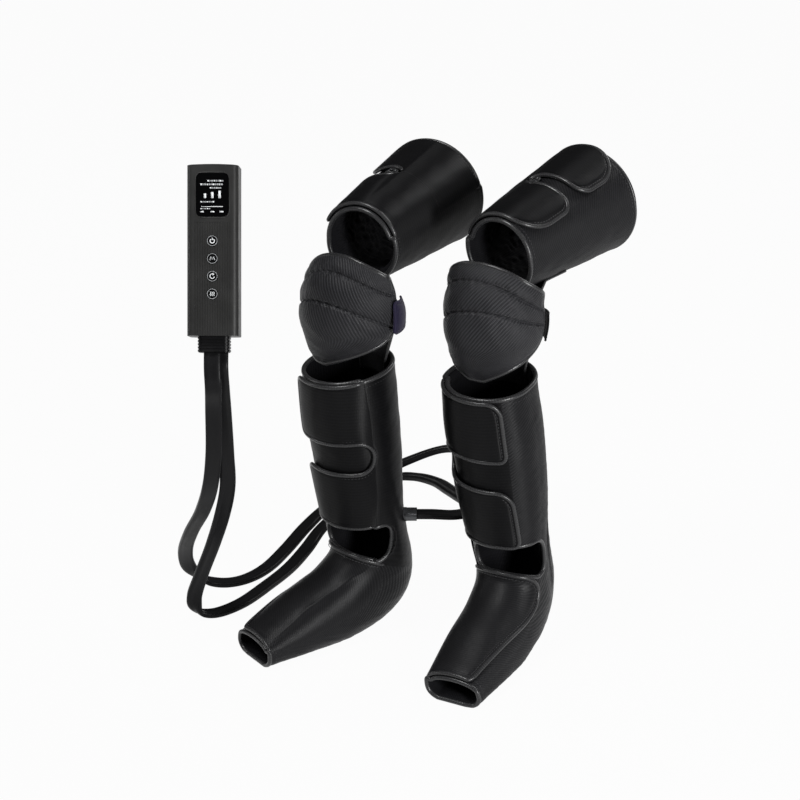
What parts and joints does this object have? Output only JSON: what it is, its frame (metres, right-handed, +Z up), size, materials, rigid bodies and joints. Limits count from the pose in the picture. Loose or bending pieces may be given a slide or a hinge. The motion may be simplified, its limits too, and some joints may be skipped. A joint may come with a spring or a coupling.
{
  "type": "compression therapy pump",
  "caption": "Hand controller with air pump, display and push buttons, joined by two flat hoses to a pair of wraps for foot, calf, knee and thigh.",
  "frame": {"origin": "on the floor, under the middle of the whole set without its hoses", "axes": "+Z is up, the soles stand on z = 0; the seated wearer faces -Y, the right leg is at -X and the left leg at +X"},
  "size_m": [0.5062, 0.4487, 0.6194],
  "materials": {
    "case_plastic": "fine satin, ribbed face",
    "window": "gloss black",
    "button_plastic": "satin, light grey ring",
    "collar_plastic": "satin, ribbed",
    "board": "solder resist",
    "display": "glass front",
    "pump_metal": "drawn can",
    "valve_plastic": "moulded",
    "cell_wrap": "shrink sleeve",
    "steel": "zinc plated",
    "socket_metal": "nickel plated",
    "hose_rubber": "flat, matt black",
    "port_plastic": "satin grey",
    "cover_fabric": "matt woven, black",
    "flap_fabric": "smooth knit with bound edge",
    "twill_fabric": "diagonal twill, black",
    "lining_fabric": "brushed knit, dark grey",
    "bladder_film": "welded film",
    "heater_film": "film with heating wire",
    "strap_fabric": "loop strap",
    "tab_fabric": "hook tab, dark violet"
  },
  "bodies": {
    "leg_wraps": {"hose_plug": "collar_plastic", "right_hose": "hose_rubber", "left_hose": "hose_rubber", "right_boot_cover": "cover_fabric", "right_boot_lining": "lining_fabric", "right_calf_bladder": "bladder_film", "right_foot_bladder": "bladder_film", "right_air_port": "port_plastic", "right_back_link": "cover_fabric", "left_boot_cover": "cover_fabric", "left_boot_lining": "lining_fabric", "left_calf_bladder": "bladder_film", "left_foot_bladder": "bladder_film", "left_air_port": "port_plastic", "left_back_link": "cover_fabric"},
    "controller": {"controller_front_shell": "case_plastic", "controller_back_shell": "case_plastic", "display_window": "window", "display_module": "display", "main_board": "board", "air_pump": "pump_metal", "air_valves": "valve_plastic", "battery_pack": "cell_wrap", "hose_socket": "collar_plastic", "charge_socket": "socket_metal", "case_screws": "steel"},
    "power_button": {"power_button": "button_plastic"},
    "mode_button": {"mode_button": "button_plastic"},
    "strength_button": {"strength_button": "button_plastic"},
    "heat_button": {"heat_button": "button_plastic"},
    "right_thigh_wrap": {"right_thigh_cover": "cover_fabric", "right_thigh_lining": "lining_fabric", "right_thigh_bladder": "bladder_film"},
    "right_knee_pad": {"right_knee_pad": "twill_fabric", "right_knee_heater": "heater_film", "right_knee_lining": "lining_fabric"},
    "right_knee_strap": {"right_knee_strap": "strap_fabric", "right_strap_tab": "tab_fabric"},
    "right_calf_upper_flap": {"right_calf_upper_flap": "flap_fabric"},
    "right_calf_lower_flap": {"right_calf_lower_flap": "flap_fabric"},
    "right_foot_flap": {"right_foot_flap": "flap_fabric"},
    "right_thigh_lower_flap": {"right_thigh_lower_flap": "flap_fabric"},
    "right_thigh_upper_flap": {"right_thigh_upper_flap": "flap_fabric"},
    "left_thigh_wrap": {"left_thigh_cover": "cover_fabric", "left_thigh_lining": "lining_fabric", "left_thigh_bladder": "bladder_film"},
    "left_knee_pad": {"left_knee_pad": "twill_fabric", "left_knee_heater": "heater_film", "left_knee_lining": "lining_fabric"},
    "left_knee_strap": {"left_knee_strap": "strap_fabric", "left_strap_tab": "tab_fabric"},
    "left_calf_upper_flap": {"left_calf_upper_flap": "flap_fabric"},
    "left_calf_lower_flap": {"left_calf_lower_flap": "flap_fabric"},
    "left_foot_flap": {"left_foot_flap": "flap_fabric"},
    "left_thigh_lower_flap": {"left_thigh_lower_flap": "flap_fabric"},
    "left_thigh_upper_flap": {"left_thigh_upper_flap": "flap_fabric"}
  },
  "joints": [
    {"name": "controller_unplug", "type": "slide", "parent": "leg_wraps", "child": "controller", "axis": [-0.2245, 0.3392, 0.9135], "range_m": [0, 0.02]},
    {"name": "power_button_press", "type": "slide", "parent": "controller", "child": "power_button", "axis": [-0.5042, 0.7618, -0.4067], "range_m": [0, 0.001], "stiffness_N_per_m": 600, "springref_m": -0.0005},
    {"name": "mode_button_press", "type": "slide", "parent": "controller", "child": "mode_button", "axis": [-0.5042, 0.7618, -0.4067], "range_m": [0, 0.001], "stiffness_N_per_m": 600, "springref_m": -0.0005},
    {"name": "strength_button_press", "type": "slide", "parent": "controller", "child": "strength_button", "axis": [-0.5042, 0.7618, -0.4067], "range_m": [0, 0.001], "stiffness_N_per_m": 600, "springref_m": -0.0005},
    {"name": "heat_button_press", "type": "slide", "parent": "controller", "child": "heat_button", "axis": [-0.5042, 0.7618, -0.4067], "range_m": [0, 0.001], "stiffness_N_per_m": 600, "springref_m": -0.0005},
    {"name": "right_knee", "type": "hinge", "parent": "leg_wraps", "child": "right_thigh_wrap", "pos_m": [-0.0338, -0.03328, 0.501], "axis": [0.9925, 0.1219, 0], "range_deg": [-5, 62], "deforming": ["right_back_link"]},
    {"name": "right_knee_pad_tilt", "type": "hinge", "parent": "leg_wraps", "child": "right_knee_pad", "pos_m": [-0.0338, -0.03328, 0.501], "axis": [0.9925, 0.1219, 0], "range_deg": [-0.7, 7.6]},
    {"name": "right_strap_open", "type": "hinge", "parent": "right_knee_pad", "child": "right_knee_strap", "pos_m": [-0.0924, -0.01208, 0.4356], "axis": [-0.1113, 0.017, 0.9936], "range_deg": [0, 70]},
    {"name": "right_calf_upper_flap_open", "type": "hinge", "parent": "leg_wraps", "child": "right_calf_upper_flap", "pos_m": [0.00445, -0.09251, 0.32294], "axis": [-0.0351, -0.0884, 0.9955], "range_deg": [0, 85]},
    {"name": "right_calf_lower_flap_open", "type": "hinge", "parent": "leg_wraps", "child": "right_calf_lower_flap", "pos_m": [0.00247, -0.0763, 0.20265], "axis": [0.0657, -0.1582, 0.9852], "range_deg": [0, 85]},
    {"name": "right_foot_flap_open", "type": "hinge", "parent": "leg_wraps", "child": "right_foot_flap", "pos_m": [-0.02866, -0.12185, 0.05335], "axis": [0.3446, 0.8729, 0.3454], "range_deg": [0, 55]},
    {"name": "right_thigh_lower_flap_open", "type": "hinge", "parent": "right_thigh_wrap", "child": "right_thigh_lower_flap", "pos_m": [0.01258, 0.01464, 0.54034], "axis": [-0.0191, 0.9942, 0.1055], "range_deg": [0, 55]},
    {"name": "right_thigh_upper_flap_open", "type": "hinge", "parent": "right_thigh_wrap", "child": "right_thigh_upper_flap", "pos_m": [0.00957, 0.11629, 0.55113], "axis": [-0.0405, 0.9936, 0.1057], "range_deg": [0, 55]},
    {"name": "left_knee", "type": "hinge", "parent": "leg_wraps", "child": "left_thigh_wrap", "pos_m": [0.12892, 0.02452, 0.501], "axis": [0.9976, -0.0698, 0], "range_deg": [-5, 62], "deforming": ["left_back_link"]},
    {"name": "left_knee_pad_tilt", "type": "hinge", "parent": "leg_wraps", "child": "left_knee_pad", "pos_m": [0.12892, 0.02452, 0.501], "axis": [0.9976, -0.0698, 0], "range_deg": [-0.7, 7.6]},
    {"name": "left_strap_open", "type": "hinge", "parent": "left_knee_pad", "child": "left_knee_strap", "pos_m": [0.19078, 0.032, 0.4356], "axis": [-0.1122, 0.0085, -0.9936], "range_deg": [0, 70]},
    {"name": "left_calf_upper_flap_open", "type": "hinge", "parent": "leg_wraps", "child": "left_calf_upper_flap", "pos_m": [0.08, -0.02427, 0.32294], "axis": [0.0246, 0.1012, -0.9946], "range_deg": [0, 85]},
    {"name": "left_calf_lower_flap_open", "type": "hinge", "parent": "leg_wraps", "child": "left_calf_lower_flap", "pos_m": [0.09029, -0.00803, 0.20265], "axis": [0.1373, 0.1458, -0.9797], "range_deg": [0, 85]},
    {"name": "left_foot_flap_open", "type": "hinge", "parent": "leg_wraps", "child": "left_foot_flap", "pos_m": [0.11621, -0.05831, 0.05335], "axis": [0.1529, -0.9259, -0.3455], "range_deg": [0, 55]},
    {"name": "left_thigh_lower_flap_open", "type": "hinge", "parent": "left_thigh_wrap", "child": "left_thigh_lower_flap", "pos_m": [0.08, 0.06868, 0.5425], "axis": [0.0334, -0.987, -0.1571], "range_deg": [0, 55]},
    {"name": "left_thigh_upper_flap_open", "type": "hinge", "parent": "left_thigh_wrap", "child": "left_thigh_upper_flap", "pos_m": [0.07764, 0.16964, 0.55858], "axis": [0.0121, -0.9875, -0.1574], "range_deg": [0, 55]}
  ],
  "couplings": [
    {"joint": "right_knee_pad_tilt", "follows": "right_knee", "ratio": 0.12},
    {"joint": "left_knee_pad_tilt", "follows": "left_knee", "ratio": 0.12}
  ]
}
